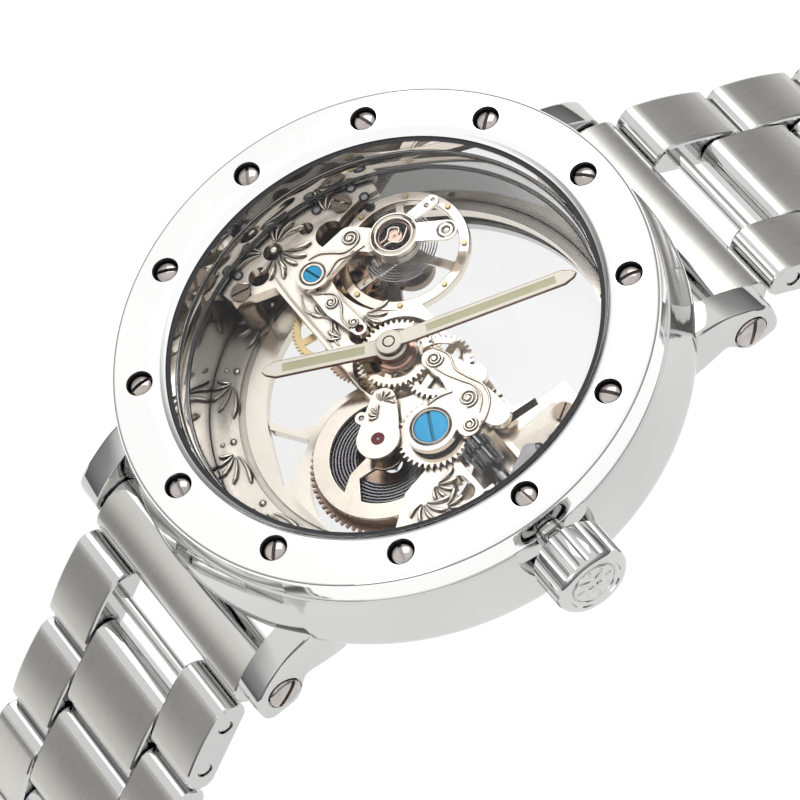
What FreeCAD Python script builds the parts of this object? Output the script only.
import FreeCAD, Part
import math
import os

os.makedirs("parts", exist_ok=True)
V = FreeCAD.Vector

# A men's wristwatch with a see-through bridge movement on a three-row steel bracelet.
# Row frame: millimetres, origin at the middle of the case back's outer face,
# +Z out of the dial, +X to the crown (3 o'clock), +Y to 12 o'clock.

# ---- driving dimensions -------------------------------------------------------------
case_h = 12.8            # case back face to bezel top
bezel_r = 20.55          # outside of the bezel
case_r = 21.5            # widest band of the mid-case
inner_r = 16.45          # bore of the mid-case
glass_r = 16.1           # front crystal
screw_ring_r = 18.35     # circle of the bezel screws
screw_count = 12
back_open_r = 15.1       # see-through opening of the case back
seat_z = 10.07           # where the bezel sits on the mid-case
floor_z = 2.2            # underside of the mid-case
stem_z = 9.0             # height of the winding stem
plate_r = 15.65          # movement plate
plate_z = 4.6            # top of the main plate
block_z = 6.6            # top of the raised block under the winding works
strip_z = 8.6            # top of the long bridge
strip_t = 1.0
bridge_r = 15.6          # reach of the long bridge
strip_lo_y = -3.5
strip_hi_y = 3.9
upper_z = 9.95           # top of the upper train bridge
lug_half = 10.0          # half the strap width
lug_w = 2.6              # thickness of one lug along X
bar_y = 21.28            # lug bar, distance from the middle
bar_z = 2.1
bar_r = 0.75
pitch = 8.5              # from one bracelet pin to the next
end_pitch = 5.7          # from the lug bar to the first pin
link_h = 1.45            # half thickness of a link
end_half = 9.9           # half width of the end pieces between the lugs
centre_half = 4.6        # half width of the middle row
row_gap = 0.1            # between the rows
pin_r = 0.5
pin_play = 0.03
clasp_len = 32.0

# bracelet slopes below the horizontal at rest, in degrees: end piece, then each link
slopes_12 = [21, 36, 36, 46, 60, 74]
slopes_6 = [32, 44, 44, 54, 68]
clasp_slope = 82

# movement axes
centre = (0.0, 0.0)
barrel = (5.0, -5.0)
crown_wheel_at = (7.3, -1.6)
third = (-3.7, -0.8)
fourth = (-7.3, -1.7)
escape = (-9.6, 1.2)
balance = (-7.8, 5.5)
minute_at = (2.9, 1.77)
fork_at = (-8.54, 3.74)
click_at = (2.75, -4.95)
cock_screw = (-9.75, -0.85)
pillars = [(-14.0, 4.3), (-13.0, -5.7), (12.4, 6.4), (12.9, -7.2)]
foot_holes = [(-14.15, 1.1, 0.55), (-14.3, -1.9, 0.75), (-13.3, -3.9, 0.8)]    # x, y and radius
minute_deg = 90 - 20.7   # hands at rest, counted from the crown
hour_deg = 90 - 210.8

parts = {}


# ---- small geometry helpers ---------------------------------------------------------
def disc(r, z0, z1, at=(0, 0)):
    return Part.makeCylinder(r, z1 - z0, V(at[0], at[1], z0))


def ring(r0, r1, z0, z1, at=(0, 0)):
    return disc(r1, z0, z1, at).cut(disc(r0, z0 - 1, z1 + 1, at))


def box(x0, x1, y0, y1, z0, z1):
    return Part.makeBox(x1 - x0, y1 - y0, z1 - z0, V(x0, y0, z0))


def rod_x(r, x0, x1, y, z):
    return Part.makeCylinder(r, x1 - x0, V(x0, y, z), V(1, 0, 0))


def lathe(points):
    pts = [V(r, 0, z) for r, z in points]
    face = Part.Face(Part.makePolygon(pts + pts[:1]))
    return face.revolve(V(0, 0, 0), V(0, 0, 1), 360)


def plate(points, z0, z1):
    pts = [V(x, y, z0) for x, y in points]
    return Part.Face(Part.makePolygon(pts + pts[:1])).extrude(V(0, 0, z1 - z0))


def fuse(shapes):
    out = shapes[0].multiFuse(shapes[1:]) if len(shapes) > 1 else shapes[0]
    return out.removeSplitter()


def cut(shape, tools):
    return shape.cut(tools)


def group(shapes):
    return Part.makeCompound(shapes)


def polar(r, deg, at=(0, 0)):
    return (at[0] + r * math.cos(math.radians(deg)), at[1] + r * math.sin(math.radians(deg)))


def turned(shape, deg, at=(0, 0), axis=V(0, 0, 1)):
    out = shape.copy()
    out.rotate(V(at[0], at[1], 0), axis, deg)
    return out


def arm(p, q, r0, r1, z0, z1):
    """A flat lever whose width runs from r0 at p to r1 at q, with round ends."""
    run = math.hypot(q[0] - p[0], q[1] - p[1])
    lean = math.degrees(math.asin((r0 - r1) / run))
    head = math.degrees(math.atan2(q[1] - p[1], q[0] - p[0]))
    side = 90 - lean
    corners = [polar(r0, head + side, p), polar(r0, head - side, p)]
    corners += [polar(r1, head - side, q), polar(r1, head + side, q)]
    return fuse([plate(corners, z0, z1), disc(r0, z0, z1, p), disc(r1, z0, z1, q)])


def angle_to(a, b):
    return math.degrees(math.atan2(b[1] - a[1], b[0] - a[0]))


def distance(a, b):
    return math.hypot(b[0] - a[0], b[1] - a[1])


def root_radius(teeth, pitch_r, deep=0.62):
    return pitch_r - deep * 4 * pitch_r / teeth


def toothed(teeth, pitch_r, z0, z1, at, phase, tall=0.5, deep=0.62):
    """Disc with straight-sided teeth; one tooth is centred at phase degrees."""
    step = 360.0 / teeth
    top, root = pitch_r + tall * 3.2 * pitch_r / teeth, root_radius(teeth, pitch_r, deep)
    pts = []
    for k in range(teeth):
        mid = phase + k * step
        for r, part in ((root, -0.34), (top, -0.12), (top, 0.12), (root, 0.34)):
            pts.append(polar(r, mid + part * step, at))
    return plate(pts, z0, z1)


def wheel(teeth, pitch_r, z0, z1, at, phase, arms=4, hub=0.9, rim=0.45, bore=0.15):
    """A toothed wheel with a thin rim, arms and a hub."""
    inner = root_radius(teeth, pitch_r) - rim
    body = toothed(teeth, pitch_r, z0, z1, at, phase).cut(disc(inner, z0 - 1, z1 + 1, at))
    pieces = [body, disc(hub, z0, z1, at)]
    for k in range(arms):
        tip = polar(inner + 0.2, k * 360.0 / arms + 20, at)
        pieces.append(arm(at, tip, 0.34, 0.26, z0, z1))
    return fuse(pieces).cut(disc(bore, z0 - 1, z1 + 1, at))


def pinion(teeth, pitch_r, z0, z1, at, phase):
    return toothed(teeth, pitch_r, z0, z1, at, phase, 0.45, 0.5)


def mesh(phase, teeth, other, heading):
    """Phase that puts the other gear's gap where this gear's tooth meets it."""
    return heading + 180 + 180.0 / other - (phase - heading) * teeth / other


def save(name, shape):
    parts[name] = shape
    shape.exportStep("parts/" + name + ".step")
    print(name, len(shape.Solids), "solids", round(shape.Volume, 3), "mm3", shape.isValid())


# ---- case ---------------------------------------------------------------------------
head_r = 0.86            # bezel screw head
hole_r = 1.02            # counterbore round it
head_z = 11.6            # its floor
shank_r = 0.45
shank_z = 9.7            # its lower end, above the stem
tube_r = 1.1             # crown tube
slot_degrees = [20, -64, 14, 66, -28, 40, -20, 52, -12, 34, -50, 6]


def screw_places():
    return [polar(screw_ring_r, k * 360.0 / screw_count) for k in range(screw_count)]


def lug_side(sign):
    outline = [(14.0, 6.6), (16.2, 6.35), (19.4, 5.75), (21.8, 4.5), (23.35, 3.15)]
    outline += [(23.62, 2.6), (23.62, 0.75), (23.35, 0.22), (22.9, 0.15), (20.9, 0.15)]
    outline += [(19.8, 1.45), (18.9, 2.0), (14.0, 2.2)]
    pts = [V(lug_half, sign * y, z) for y, z in outline]
    return Part.Face(Part.makePolygon(pts + pts[:1])).extrude(V(lug_w, 0, 0))


def make_mid_case():
    outside = [(inner_r, seat_z), (20.6, seat_z), (20.66, 9.6), (20.8, 8.6), (21.12, 7.2)]
    outside += [(case_r, 5.9), (case_r, 5.5), (21.2, 4.9), (20.2, 4.0), (19.1, floor_z)]
    outside += [(17.5, floor_z), (17.5, 2.7), (inner_r, 2.7)]
    body = lathe(outside)
    lugs = []
    for sign in (1, -1):
        one = lug_side(sign).cut(disc(19.0, 0, case_h))
        lugs += [one, one.mirror(V(0, 0, 0), V(1, 0, 0))]
    body = fuse([body] + lugs)
    tools = [rod_x(3.2, 20.3, 24, 0, stem_z), rod_x(tube_r, 19.0, 21, 0, stem_z)]
    tools.append(rod_x(0.8, 15, 21, 0, stem_z))
    for sign in (1, -1):
        tools.append(rod_x(bar_r, -13, 13, sign * bar_y, bar_z))
        tools.append(rod_x(1.4, 12.2, 13, sign * bar_y, bar_z))
        tools.append(rod_x(1.4, -13, -12.2, sign * bar_y, bar_z))
    for at in screw_places():
        tools.append(disc(shank_r, shank_z, seat_z + 1, at))
    return cut(body, tools)


def make_bezel():
    outline = [(inner_r, 10.12), (bezel_r, 10.12), (bezel_r, 12.3), (20.4, 12.62)]
    outline += [(20.0, case_h), (16.9, case_h), (inner_r, 12.35)]
    tools = []
    for at in screw_places():
        tools.append(disc(hole_r, head_z, case_h + 1, at))
        tools.append(disc(0.5, 10, head_z + 0.5, at))
    return cut(lathe(outline), tools)


def make_bezel_screws():
    out = []
    for k, at in enumerate(screw_places()):
        shape = lathe([(0, shank_z), (shank_r, shank_z), (shank_r, head_z), (head_r, head_z),
                       (head_r, 12.2), (0.7, 12.38), (0.35, 12.5), (0, 12.53)])
        slot = turned(box(-1.5, 1.5, -0.14, 0.14, 12.12, 13), slot_degrees[k])
        shape = shape.cut(slot)
        shape.translate(V(at[0], at[1], 0))
        out.append(shape)
    return group(out)


def make_case():
    save("mid_case", make_mid_case())
    save("bezel", make_bezel())
    save("bezel_screws", make_bezel_screws())
    save("crystal", lathe([(0, 11.05), (glass_r, 11.05), (glass_r, 12.3), (15.9, 12.5), (0, 12.5)]))
    save("case_gaskets", group([ring(glass_r, inner_r, 11.05, 12.2), ring(16.6, 17.4, 2.15, 2.65)]))
    notch = rod_x(0.9, 10, 20, 0, stem_z)
    save("rehaut", cut(lathe([(15.9, 9.2), (inner_r, 9.2), (inner_r, 11.0), (16.05, 11.0),
                              (15.9, 10.8)]), [notch]))
    save("casing_ring", cut(ring(15.7, 16.4, 2.75, 9.15), [notch]))
    back = lathe([(back_open_r, 0), (17.3, 0), (18.3, 0.7), (18.85, 1.7), (18.85, 2.15), (back_open_r, 2.15)])
    keys = [turned(box(17.2, 20, -0.9, 0.9, -1, 1.0), k * 60) for k in range(6)]
    save("case_back", cut(back, keys))
    save("back_crystal", disc(back_open_r, 0, 1.5))
    save("crown_tube", rod_x(tube_r, 19.0, 21.4, 0, stem_z).cut(rod_x(0.8, 18, 22, 0, stem_z)))
    bars = []
    for sign in (1, -1):
        bar = [rod_x(bar_r, -12.3, 12.3, sign * bar_y, bar_z)]
        for end in (1, -1):
            head = Part.makeCylinder(1.3, 0.45, V(end * 12.25, sign * bar_y, bar_z), V(end, 0, 0))
            dome = Part.makeCone(1.3, 0.8, 0.25, V(end * 12.7, sign * bar_y, bar_z), V(end, 0, 0))
            bar += [head, dome]
        slot = box(12.6, 13.2, sign * bar_y - 2, sign * bar_y + 2, bar_z - 0.16, bar_z + 0.16)
        slot.rotate(V(0, sign * bar_y, bar_z), V(1, 0, 0), 25)
        bars.append(fuse(bar).cut(slot))
    save("lug_bars", group(bars))


# ---- movement: plates and bridges ---------------------------------------------------
def make_main_plate():
    z0 = plate_z - 0.9
    body = disc(plate_r, z0, plate_z)
    opening = disc(14.85, z0 - 1, plate_z + 1)
    # the web keeps the lower left quarter and a ring round the barrel
    web = plate([(-15, 0.5), (-15, -15), (6, -15), (6, -9), (-1.5, -4), (-3, 0.5)], z0 - 1, plate_z + 1)
    keep = fuse([web, disc(7.6, z0 - 1, plate_z + 1, barrel)])
    body = body.cut(opening.cut(keep))
    bean = disc(11.3, z0 - 2, plate_z + 2).cut([disc(7.9, z0 - 2, plate_z + 2, barrel),
                                                box(-20, 20, -2.2, 20, z0 - 3, plate_z + 3)])
    gap = plate([(-3.2, -10.9), (-4.6, -10.2), (-1.7, -8.4), (0.3, -11.6), (0, -12.1)], z0 - 1, plate_z + 1)
    rim_cut = plate([(-5.2, -9.9), (-3.4, -9.0), (-2.2, -7.2), (-1, -8.1), (-3, -10.8)], z0 - 3, plate_z + 3)
    bean = bean.cut(rim_cut)
    tools = [bean, gap, disc(6.6, z0 - 1, plate_z + 1, barrel)]
    tools.append(ring(12.9, 13.5, plate_z - 0.25, plate_z + 1))
    for k in range(6):
        tools.append(disc(0.25, z0 - 1, plate_z + 1, polar(15.25, 15 + 60 * k)))
    pads = [disc(1.3, z0, plate_z, at).common(disc(plate_r, z0, plate_z)) for at in pillars]
    # raised block under the winding works, open round the barrel and the pillars
    block = box(9.0, 15.5, -8.4, 8.2, plate_z - 0.1, block_z).common(disc(15.4, z0, block_z))
    block = block.cut([disc(6.6, z0 - 1, block_z + 1, barrel)])
    block = block.cut([disc(0.9, plate_z, block_z + 1, at) for at in pillars])
    return fuse([cut(body, tools), block] + pads)


def on_rim(side, y):
    return side * math.sqrt(bridge_r ** 2 - y ** 2), y


def make_long_bridge():
    z0 = strip_z - strip_t
    lower = [on_rim(-1, -6.8), (-12.9, -6.6), (-12.0, -4.6), (-11.6, strip_lo_y), (9.0, strip_lo_y)]
    lower += [(9.6, -6), (11.6, -8.3), on_rim(1, -8.5)]
    upper = [on_rim(1, 8.3), (12.2, 8.0), (10.3, 6.6), (9.3, strip_hi_y), (-11.6, strip_hi_y), (-12.2, 5)]
    upper += [(-12.4, 6.9), on_rim(-1, 7.1)]
    wires = [Part.makePolygon([V(x, y, z0) for x, y in run]) for run in (lower, upper)]
    ends = [Part.Arc(V(*lower[-1], z0), V(bridge_r, 0, z0), V(*upper[0], z0)).toShape(),
            Part.Arc(V(*upper[-1], z0), V(-bridge_r, 0, z0), V(*lower[0], z0)).toShape()]
    loop = Part.Wire(wires[0].Edges + [ends[0]] + wires[1].Edges + [ends[1]])
    body = Part.Face(loop).extrude(V(0, 0, strip_t))
    tools = [disc(5.55, z0 - 1, strip_z + 1, balance), disc(3.45, z0 - 1, strip_z + 1)]
    tools += [disc(r, z0 - 1, strip_z + 1, (x, y)) for x, y, r in foot_holes]
    tools.append(disc(1.15, z0 - 1, strip_z + 1, (-12.4, 2.2)).common(box(-14, -11, -1, 5, z0, strip_z)))
    tools.append(box(9.3, 13.4, -1.5, 1.75, z0 - 1, strip_z + 1))
    kidney = fuse([arm((10.4, 6.0), (10.2, 3.0), 0.45, 0.5, z0 - 1, strip_z + 1),
                   arm((10.4, 6.0), (11.3, 7.6), 0.45, 0.3, z0 - 1, strip_z + 1)])
    tools.append(kidney)
    tools.append(arm((12.6, -2.6), (11.6, -2.5), 0.7, 0.5, z0 - 1, strip_z + 1))
    tools.append(arm((1.0, 3.0), (2.7, 3.2), 0.45, 0.5, z0 - 1, strip_z + 1))
    for r, at in ((2.0, barrel), (1.0, third), (0.33, fourth), (0.36, cock_screw)):
        tools.append(disc(r, z0 - 1, strip_z + 1, at))
    tools.append(box(13, 16, -0.75, 0.75, stem_z - 0.75, strip_z + 1))
    tools += [disc(0.4, z0 - 1, strip_z + 1, at) for at in pillars]
    return fuse([cut(body, tools)])


def make_train_plate():
    """Lower plate of the going train, seen through the gaps of the long bridge."""
    z0, z1 = plate_z, 5.25
    body = fuse([arm((-12.3, 3.0), (-3.0, -1.0), 3.2, 2.4, z0, z1),
                 arm((-3.0, -1.0), (1.0, 0.6), 2.4, 1.4, z0, z1),
                 arm((-12.3, 3.0), (-7.8, 5.5), 2.2, 1.6, z0, z1)])
    body = body.common(disc(14.6, z0, z1))
    body = body.cut(disc(6.62, z0 - 1, z1 + 1, barrel))
    tools = [disc(0.14, z0 - 1, z1 + 1, at) for at in (centre, third, fourth, escape, balance)]
    tools += [disc(0.9, z0 - 1, z1 + 1, at) for at in pillars]
    foot = box(-15.3, -12.0, 1.2, 5.4, z0, z1).common(disc(15.4, z0, z1))
    return cut(fuse([body, foot]), tools)


def make_train_bridge():
    """Upper bridge over the crown wheel and the motion work, with a scroll outline."""
    z0 = upper_z - 0.55
    pieces = [disc(1.95, z0, upper_z, crown_wheel_at)]
    pieces.append(arm(crown_wheel_at, (7.3, 2.0), 1.7, 1.3, z0, upper_z))
    pieces.append(arm((7.3, 2.0), (9.2, 0.5), 1.3, 0.85, z0, upper_z))
    pieces.append(arm((7.3, 2.0), (4.6, 2.2), 1.3, 1.0, z0, upper_z))
    pieces.append(arm((4.6, 2.2), (2.75, 1.75), 1.0, 0.85, z0, upper_z))
    body = fuse(pieces)
    legs = [disc(0.6, strip_z, z0, (9.9, 2.6)), disc(0.6, strip_z, z0, (6.1, 3.2))]
    body = fuse([body, disc(0.95, z0, upper_z, (9.9, 2.6)), disc(0.9, z0, upper_z, (6.1, 3.2)),
                 arm((7.3, 2.0), (9.9, 2.6), 1.3, 0.95, z0, upper_z)] + legs)
    return cut(body, [disc(1.32, upper_z - 0.35, upper_z + 1, crown_wheel_at),
                      disc(0.5, z0 - 1, upper_z + 1, crown_wheel_at),
                      disc(0.2, z0 - 1, upper_z + 1, minute_at)])


def make_barrel_bridge():
    z0, z1 = 9.1, 9.4
    body = fuse([arm((2.6, -2.9), barrel, 0.95, 1.62, z0, z1), disc(0.9, strip_z, z1, (2.6, -2.9)),
                 arm(click_at, (3.9, -4.4), 0.5, 0.6, z0, z1)])
    return cut(body, [disc(0.5, z0 - 1, z1 + 1, barrel), disc(0.22, z0 - 1, z1 + 1, click_at)])


def make_balance_cock():
    z0, z1 = 9.1, 9.7
    foot = [disc(1.3, strip_z, z1, cock_screw)]
    foot.append(arm(cock_screw, (-6.5, -1.2), 1.0, 0.75, strip_z, 9.2))
    foot.append(arm((-6.5, -1.2), third, 0.75, 0.55, strip_z, 9.2))
    reach = [arm(cock_screw, (-10.3, 2.9), 1.15, 1.0, z0, z1)]
    reach.append(arm((-10.3, 2.9), (-9.0, 4.0), 1.0, 1.0, z0, z1))
    body = fuse(foot + reach + [disc(1.9, z0, z1, balance)])
    return cut(body, [disc(1.35, 9.0, 10, balance), disc(0.72, 9.4, 10, cock_screw),
                      disc(0.36, 8, 10, cock_screw), disc(0.33, 8, 10, third)])


def make_regulator():
    """Regulator and stud carrier: two arms on one ring round the shock setting."""
    z0, z1 = 9.72, 9.95
    body = fuse([ring(1.36, 1.85, z0, z1, balance),
                 arm(polar(1.6, 108, balance), (-8.3, 9.3), 0.45, 0.5, z0, z1)])
    return cut(body, [disc(1.36, 9, 11, balance), disc(0.17, 9, 11, (-8.3, 9.4)),
                      disc(0.2, 9, 11, (-8.25, 8.75))])


def make_stud_carrier():
    z0, z1 = 9.97, 10.2
    body = fuse([ring(1.36, 1.85, z0, z1, balance),
                 arm(polar(1.6, 52, balance), (-5.3, 8.6), 0.8, 0.85, z0, z1)])
    return cut(body, [disc(1.36, 9, 11, balance), disc(0.35, 9, 11, (-5.3, 8.6))])


def make_shock_setting():
    z0 = 9.12
    body = ring(0.5, 1.33, z0, 9.9, balance)
    jewel_seat = ring(0.14, 0.5, z0, z0 + 0.3, balance)
    spring = fuse([box(-0.16, 0.16, -1.0, 1.0, 9.6, 9.8), box(-1.0, 1.0, -0.16, 0.16, 9.6, 9.8)])
    spring.translate(V(balance[0], balance[1], 0))
    return fuse([body, jewel_seat, spring])


def screw(at, z_top, r, shank, z_low, slot_deg, slot=0.16, depth=0.14):
    body = fuse([disc(r, z_top - 0.28, z_top, at), disc(shank, z_low, z_top - 0.28, at)])
    groove = box(-r - 0.5, r + 0.5, -slot / 2, slot / 2, z_top - depth, z_top + 1)
    groove = turned(groove, slot_deg)
    groove.translate(V(at[0], at[1], 0))
    return body.cut(groove)


def make_fixed_movement():
    save("main_plate", make_main_plate())
    save("long_bridge", make_long_bridge())
    save("train_plate", make_train_plate())
    save("train_bridge", make_train_bridge())
    save("barrel_bridge", make_barrel_bridge())
    save("balance_cock", make_balance_cock())
    save("shock_setting", make_shock_setting())
    posts = [disc(0.85, plate_z, strip_z - strip_t, at).cut(disc(0.38, 6.8, strip_z, at)) for at in pillars]
    posts += [screw(at, strip_z + 0.28, 0.75, 0.38, 6.8, 30 + 47 * k) for k, at in enumerate(pillars)]
    save("pillars", group(posts))
    blue = [screw(crown_wheel_at, upper_z - 0.07, 1.28, 0.48, strip_z, -25, 0.22),
            screw(cock_screw, 9.68, 0.7, 0.34, 7.8, 15, 0.14)]
    save("blue_screws", group(blue))
    jewels = [ring(0.16, 0.48, 9.12, 9.38, barrel)]
    jewels += [ring(0.145, 0.3, 8.62, 8.92, third), ring(0.145, 0.3, 8.2, 8.5, fourth)]
    save("jewels", group(jewels))


# ---- movement: moving pieces --------------------------------------------------------
barrel_teeth, centre_leaves = 72, 14
going_module = 2 * distance(centre, barrel) / (barrel_teeth + centre_leaves)


def make_barrel():
    heading = angle_to(centre, barrel)
    phase = mesh(heading, centre_leaves, barrel_teeth, heading)
    teeth = toothed(barrel_teeth, going_module * barrel_teeth / 2, 6.0, 6.35, barrel, phase)
    drum = [teeth.cut(disc(5.0, 5, 7, barrel)), ring(5.0, 5.5, 5.3, 7.2, barrel),
            ring(0.7, 5.5, 5.3, 5.5, barrel)]
    save("barrel_drum", fuse(drum))
    cover = [ring(4.2, 5.5, 7.2, 7.5, barrel), disc(1.5, 7.2, 7.5, barrel)]
    for k in range(2):
        bend = polar(2.9, 92 + 180 * k, barrel)
        cover.append(arm(barrel, bend, 0.8, 0.4, 7.2, 7.5))
        cover.append(arm(bend, polar(4.7, 112 + 180 * k, barrel), 0.4, 0.8, 7.2, 7.5))
    save("barrel_cover", fuse(cover).cut(disc(0.6, 7, 8, barrel)))
    coils = [ring(3.0 + 0.24 * k, 3.12 + 0.24 * k, 5.55, 7.15, barrel) for k in range(8)]
    save("mainspring", group(coils))
    arbor = [disc(0.55, 5.6, 7.9, barrel), disc(0.14, 4.7, 5.6, barrel), disc(0.3, 7.9, 8.7, barrel)]
    save("barrel_arbor", fuse(arbor + [disc(0.45, 8.7, 9.05, barrel), disc(0.14, 9.05, 9.35, barrel)]))


def make_winding_wheels():
    heading = angle_to(barrel, crown_wheel_at)
    module = 2 * distance(barrel, crown_wheel_at) / (36 + 18)
    ratchet = pinion(18, module * 9, 8.72, 8.98, barrel, heading)
    save("ratchet_wheel", ratchet.cut(disc(0.45, 8, 10, barrel)))
    face = toothed(36, module * 18, 8.72, 8.98, crown_wheel_at, mesh(heading, 18, 36, heading))
    face = fuse([face, disc(1.6, 8.98, 9.25, crown_wheel_at)])
    save("crown_wheel", face.cut(disc(0.55, 8, 10, crown_wheel_at)))


def make_going_train():
    # centre wheel drives the third wheel's leaves
    heading = angle_to(centre, third)
    module = 2 * distance(centre, third) / (48 + 10)
    to_barrel = angle_to(centre, barrel)
    leaves = pinion(centre_leaves, going_module * centre_leaves / 2, 5.8, 6.5, centre, to_barrel)
    save("centre_wheel", fuse([wheel(48, module * 24, 7.95, 8.15, centre, heading, 4, 0.8), leaves,
                               disc(0.35, 5.3, 10.9, centre), disc(0.12, 4.7, 5.3, centre)]))
    leaves = pinion(10, module * 5, 7.9, 8.2, third, mesh(heading, 48, 10, heading))
    # third wheel drives the fourth wheel's leaves
    heading = angle_to(third, fourth)
    module = 2 * distance(third, fourth) / (56 + 8)
    save("third_wheel", fuse([leaves, wheel(56, module * 28, 6.7, 6.9, third, heading, 4, 0.7),
                              disc(0.25, 5.3, 8.2, third), disc(0.12, 4.7, 8.9, third)]))
    leaves = pinion(8, module * 4, 6.6, 7.0, fourth, mesh(heading, 56, 8, heading))
    # fourth wheel drives the escape wheel's leaves
    heading = angle_to(fourth, escape)
    module = 2 * distance(fourth, escape) / (60 + 8)
    save("fourth_wheel", fuse([leaves, wheel(60, module * 30, 6.1, 6.3, fourth, heading, 3, 0.7),
                               disc(0.25, 5.3, 7.5, fourth), disc(0.12, 4.7, 8.5, fourth)]))
    leaves = pinion(8, module * 4, 6.0, 6.4, escape, mesh(heading, 60, 8, heading))
    club = [ring(1.3, 1.6, 5.5, 5.65, escape), disc(0.5, 5.5, 5.65, escape)]
    for k in range(15):
        base = k * 24.0
        tooth = [polar(1.55, base, escape), polar(1.55, base + 9, escape), polar(2.05, base + 13, escape),
                 polar(2.02, base + 9.5, escape)]
        club.append(plate(tooth, 5.5, 5.65))
    for k in range(4):
        club.append(arm(escape, polar(1.4, 90 * k, escape), 0.2, 0.18, 5.5, 5.65))
    save("escape_wheel", fuse(club + [leaves, disc(0.2, 5.3, 6.9, escape), disc(0.12, 4.7, 5.3, escape)]))


def make_escapement():
    z0, z1 = 5.75, 5.9
    toward = angle_to(fork_at, balance)
    arms = [arm(fork_at, polar(1.5, toward, fork_at), 0.22, 0.16, z0, z1)]
    arms.append(arm(fork_at, polar(1.5, toward + 118, fork_at), 0.2, 0.16, z0, z1))
    arms.append(arm(fork_at, polar(1.5, toward - 118, fork_at), 0.2, 0.16, z0, z1))
    save("pallet_fork", fuse(arms + [disc(0.16, 5.3, 6.6, fork_at)]))
    rim = ring(4.3, 5.1, 7.15, 7.85, balance)
    pieces = [rim, disc(0.75, 7.3, 7.6, balance)]
    for k in range(3):
        pieces.append(arm(balance, polar(4.5, 30 + 120 * k, balance), 0.4, 0.34, 7.3, 7.6))
    staff = [disc(0.3, 5.95, 8.9, balance), disc(0.12, 4.7, 5.95, balance), disc(0.12, 8.9, 9.45, balance),
             disc(0.75, 6.3, 6.5, balance)]
    save("balance_wheel", fuse(pieces + staff))
    turns = []
    for k in range(9):
        r = 0.75 + 0.27 * k
        turns.append(ring(r, r + 0.09, 8.3, 8.42, balance))
    save("hairspring", group(turns))


def make_motion_work():
    gap = distance(centre, minute_at)
    m1, m2 = 2 * gap / (12 + 36), 2 * gap / (10 + 40)
    heading = angle_to(centre, minute_at)
    canon = [pinion(12, m1 * 6, 8.65, 8.98, centre, heading), disc(0.62, 8.55, 10.95, centre)]
    cap = lathe([(0, 10.95), (0.6, 10.95), (0.6, 11.0), (0.3, 11.03), (0, 11.03)])
    save("cannon_pinion", group([fuse(canon).cut(disc(0.37, 8, 12, centre)), cap]))
    body = wheel(36, m1 * 18, 8.7, 8.9, minute_at, mesh(heading, 12, 36, heading), 4, 0.6)
    leaf = pinion(10, m2 * 5, 8.9, 9.32, minute_at, heading + 180)
    save("minute_wheel", fuse([body, leaf, disc(0.18, 8.62, 9.6, minute_at)]))
    phase = mesh(heading + 180, 10, 40, heading + 180)
    face = wheel(40, m2 * 20, 9.05, 9.25, centre, phase, 5, 1.4, 0.5, 0.66)
    pipe = lathe([(0.66, 9.05), (1.6, 9.05), (1.6, 9.4), (1.45, 9.4), (1.45, 9.55), (1.2, 9.6), (1.2, 9.75),
                  (1.0, 9.8), (1.0, 10.5), (0.66, 10.5)])
    save("hour_wheel", fuse([face, pipe]))


def baton(length, tail, half, z0, z1, bore, deg):
    """A straight hand with a pointed tip, a round boss and a long window for its lume."""
    outline = [(0, half * 0.55), (length * 0.12, half), (length - 1.0, half)]
    outline += [(length - 0.25, half * 0.5), (length, 0)]
    outline += [(x, -y) for x, y in reversed(outline[:-1])]
    body = fuse([plate(outline, z0, z1), disc(1.0, z0, z1),
                 arm((0, 0), (-tail, 0), half * 0.7, half * 0.45, z0, z1)])
    body = body.cut(disc(bore, z0 - 1, z1 + 1))
    window = box(length * 0.2, length - 1.6, -half * 0.42, half * 0.42, z0 - 1, z1 + 1)
    lume = box(length * 0.2, length - 1.6, -half * 0.42, half * 0.42, z0 + 0.02, z1 - 0.08)
    return turned(body.cut(window), deg), turned(lume, deg)


def make_hands():
    hand, lume = baton(14.4, 1.2, 0.62, 10.72, 10.95, 0.62, minute_deg)
    save("minute_hand", group([hand, lume]))
    hand, lume = baton(9.8, 1.0, 0.68, 10.27, 10.5, 1.0, hour_deg)
    hand = fuse([hand.cut(disc(1.0, 10, 11)), ring(1.0, 1.3, 10.27, 10.5)])
    save("hour_hand", group([hand, lume]))


# ---- winding and setting ------------------------------------------------------------
def toothed_rod(teeth, r_out, r_in, x0, x1, bore):
    pts = []
    for k in range(teeth):
        for part, r in ((-0.34, r_in), (-0.15, r_out), (0.15, r_out), (0.34, r_in)):
            a = math.radians((k + part) * 360.0 / teeth)
            pts.append(V(x0, r * math.cos(a), stem_z + r * math.sin(a)))
    body = Part.Face(Part.makePolygon(pts + pts[:1])).extrude(V(x1 - x0, 0, 0))
    return body.cut(rod_x(bore, x0 - 1, x1 + 1, 0, stem_z))


def make_crown():
    r_face, r_body = 2.55, 2.9
    profile = [(0, 21.5), (2.2, 21.5), (2.5, 21.7), (r_body, 22.0), (r_body, 24.9), (r_face, 25.3)]
    profile += [(2.1, 25.5), (1.9, 25.42), (0, 25.42)]
    pts = [V(x, 0, stem_z + r) for r, x in profile]
    body = Part.Face(Part.makePolygon(pts + pts[:1])).revolve(V(0, 0, stem_z), V(1, 0, 0), 360)
    flutes = []
    for k in range(18):
        a = math.radians(k * 20.0)
        y, z = (r_body + 0.16) * math.cos(a), stem_z + (r_body + 0.16) * math.sin(a)
        flutes.append(rod_x(0.36, 21.0, 24.7, y, z))
    return cut(body, flutes + [rod_x(0.55, 21, 23.5, 0, stem_z), rod_x(1.33, 21, 23.2, 0, stem_z)])


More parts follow.
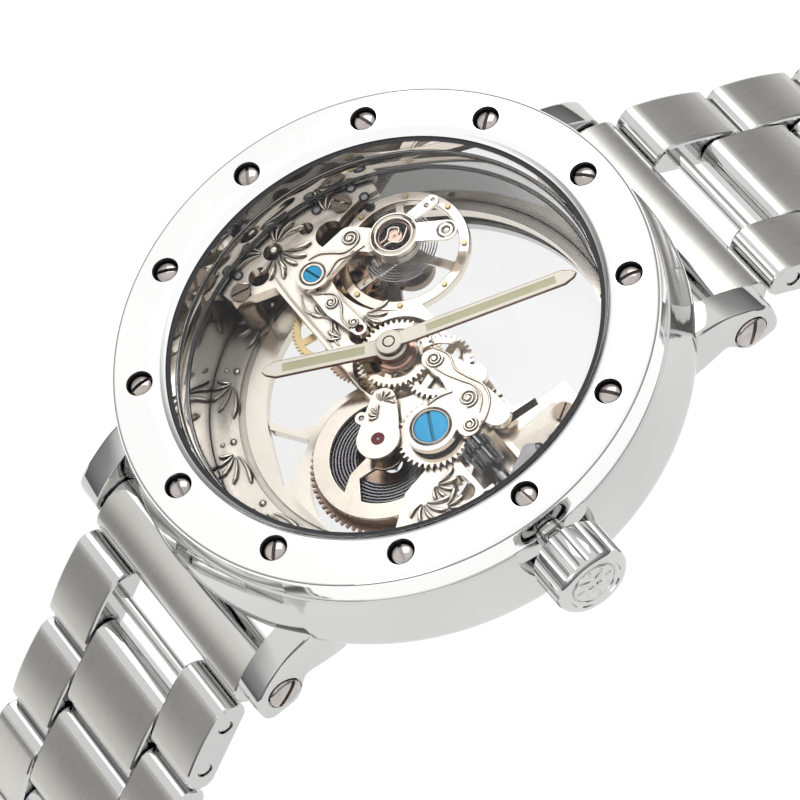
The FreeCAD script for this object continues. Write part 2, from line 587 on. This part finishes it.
def make_keyless():
    save("crown", make_crown())
    stem = fuse([rod_x(0.55, 13.6, 23.5, 0, stem_z), rod_x(0.3, 9.95, 13.6, 0, stem_z)])
    groove = rod_x(0.7, 14.4, 14.8, 0, stem_z).cut(rod_x(0.35, 14, 15, 0, stem_z))
    save("stem", stem.cut(groove))
    save("winding_pinion", toothed_rod(14, 1.15, 0.85, 10.2, 11.1, 0.34))
    save("clutch_wheel", toothed_rod(14, 1.05, 0.8, 11.3, 12.6, 0.34))
    lever = fuse([arm((13.9, 2.6), (14.6, 0.9), 0.55, 0.3, 9.65, 9.9), disc(0.2, 9.0, 9.65, (14.62, 0.85)),
                  disc(0.25, strip_z, 9.65, (13.9, 2.6))])
    save("setting_lever", lever)
    tip = polar(1.68, angle_to(barrel, click_at) + 14, barrel)
    pawl = fuse([arm(click_at, tip, 0.42, 0.14, 8.72, 8.98), disc(0.2, 8.6, 9.3, click_at)])
    save("click", pawl)


# ---- bracelet -----------------------------------------------------------------------
def link_profile(s0, s1, x0, x1):
    """A link's side outline from s0 to s1 along the bracelet, swept from x0 to x1."""
    h = link_h
    mid = (s0 + s1) / 2

    def at(s, n):
        return V(x0, s, n)

    start = Part.Arc(at(s0 + 0.8, -h + 0.1), at(s0, -0.2), at(s0 + 0.85, h - 0.25)).toShape()
    top = Part.Arc(at(s0 + 0.85, h - 0.25), at(mid, h), at(s1 - 0.85, h - 0.25)).toShape()
    end = Part.Arc(at(s1 - 0.85, h - 0.25), at(s1, -0.2), at(s1 - 0.8, -h + 0.1)).toShape()
    base = Part.Arc(at(s1 - 0.8, -h + 0.1), at(mid, -h + 0.25), at(s0 + 0.8, -h + 0.1)).toShape()
    return Part.Face(Part.Wire([start, top, end, base])).extrude(V(x1 - x0, 0, 0))


def across(r, s, half, n=0.0):
    return Part.makeCylinder(r, 2 * half, V(-half, s, n), V(1, 0, 0))


def make_link():
    side = link_profile(-2.05, 6.25, centre_half + row_gap, lug_half)
    other = side.mirror(V(0, 0, 0), V(1, 0, 0))
    middle = link_profile(2.2, 10.5, -centre_half, centre_half)
    half = pitch / 2
    tools = [across(pin_r, 0, 9.4), across(pin_r, half, 9.4)]
    side, other = side.cut(tools), other.cut(tools)
    middle = middle.cut([across(pin_r, half, 9.4), across(pin_r + pin_play, pitch, 9.4)])
    return [side, other, middle, across(pin_r, 0, 9.4), across(pin_r, half, 9.4)]


def make_end_link():
    block = link_profile(-1.35, 3.45, -end_half, end_half)
    tongue = link_profile(0.5, end_pitch + 2.0, -centre_half, centre_half)
    return fuse([block, tongue]).cut([across(bar_r + 0.04, 0, 12), across(pin_r + pin_play, end_pitch, 9.4)])


def placed(shapes, side, y, z, slope):
    """Turn link pieces to their slope, then put their first pin at y, z on one side."""
    out = []
    for shape in shapes:
        one = shape.copy()
        one.rotate(V(0, 0, 0), V(1, 0, 0), -slope)
        if side < 0:
            one = one.mirror(V(0, 0, 0), V(0, 1, 0))
        one.translate(V(0, side * y, z))
        out.append(one)
    return out


def walk(y, z, step, slope):
    return y + step * math.cos(math.radians(slope)), z - step * math.sin(math.radians(slope))


def make_clasp():
    """Fold-over clasp, closed: a cover shell with two thin blades folded under it."""
    w = end_half
    shell = link_profile(2.4, clasp_len, -w, w)
    hollow = Part.makeBox(2 * w - 2.0, clasp_len - 4.6, 2.4, V(-w + 1.0, 3.4, -1.9))
    ears = link_profile(-1.9, 4.2, centre_half + row_gap, w)
    twin = ears.mirror(V(0, 0, 0), V(1, 0, 0))
    far = clasp_len - 2.3
    fold_n = -0.35
    cover = fuse([shell.cut(hollow), ears, twin])
    cover = cover.cut([across(pin_r, 0, 9.4), across(pin_r, far, 9.4, fold_n)])
    pin = across(pin_r, 0, 9.4)
    hinge = across(pin_r, far, 9.4, fold_n)
    near = 5.6
    outer = fuse([Part.makeBox(15.6, far - near - 2.0, 0.6, V(-7.8, near + 1.0, -0.3)),
                  across(0.75, far, 7.8, fold_n),
                  Part.makeBox(15.6, 1.0, 0.6, V(-7.8, far - 1.0, -0.3))])
    outer = fuse([outer, Part.makeCylinder(0.6, 5.0, V(-7.8, near, -0.45), V(1, 0, 0)),
                  Part.makeCylinder(0.6, 5.0, V(2.8, near, -0.45), V(1, 0, 0)),
                  Part.makeBox(5.0, 1.1, 0.5, V(-7.8, near, -0.3)),
                  Part.makeBox(5.0, 1.1, 0.5, V(2.8, near, -0.3))])
    bore = Part.makeCylinder(0.33, 17, V(-8.5, near, -0.45), V(1, 0, 0))
    outer = outer.cut([across(pin_r + pin_play, far, 9.4, fold_n), bore])
    inner = [Part.makeBox(15.6, far - near - 4.4, 0.5, V(-7.8, near + 2.4, -0.95)),
             Part.makeCylinder(0.6, 5.0, V(-2.5, near, -0.45), V(1, 0, 0)),
             Part.makeBox(5.0, 2.6, 0.4, V(-2.5, near, -0.9))]
    inner = fuse(inner).cut(Part.makeCylinder(0.33, 17, V(-8.5, near, -0.45), V(1, 0, 0)))
    inner = inner.cut(Part.makeCylinder(0.62, 17, V(2.6, near, -0.45), V(1, 0, 0)))
    fold_pin = Part.makeCylinder(0.3, 15.0, V(-7.5, near, -0.45), V(1, 0, 0))
    return [cover, pin, hinge], [outer, fold_pin], [inner]


def make_bracelet():
    clear_of_case = lathe([(0, -2), (19.7, -2), (19.9, 2.2), (20.9, 3.9), (22.0, 5.0), (22.0, 8), (0, 8)])
    for side, slopes, tag in ((1, slopes_12, "12"), (-1, slopes_6, "6")):
        y, z = bar_y, bar_z
        end_piece = placed([make_end_link()], side, y, z, slopes[0])[0]
        save("end_link_" + tag, end_piece.cut(clear_of_case))
        y, z = walk(y, z, end_pitch, slopes[0])
        for k, slope in enumerate(slopes[1:]):
            save("link_%s_%d" % (tag, k + 1), group(placed(make_link(), side, y, z, slope)))
            print("pin", tag, k + 1, round(side * y, 4), round(z, 4))
            y, z = walk(y, z, pitch, slope)
        print("pin", tag, "end", round(side * y, 4), round(z, 4))
        if side < 0:
            cover, outer, inner = make_clasp()
            save("clasp_cover", group(placed(cover, side, y, z, clasp_slope)))
            save("clasp_blade_outer", group(placed(outer, side, y, z, clasp_slope)))
            save("clasp_blade_inner", group(placed(inner, side, y, z, clasp_slope)))


make_case()
make_fixed_movement()
save("regulator", group([make_regulator(), make_stud_carrier()]))
make_barrel()
make_winding_wheels()
make_going_train()
make_escapement()
make_motion_work()
make_hands()
make_keyless()
make_bracelet()
print(len(parts), "nodes")
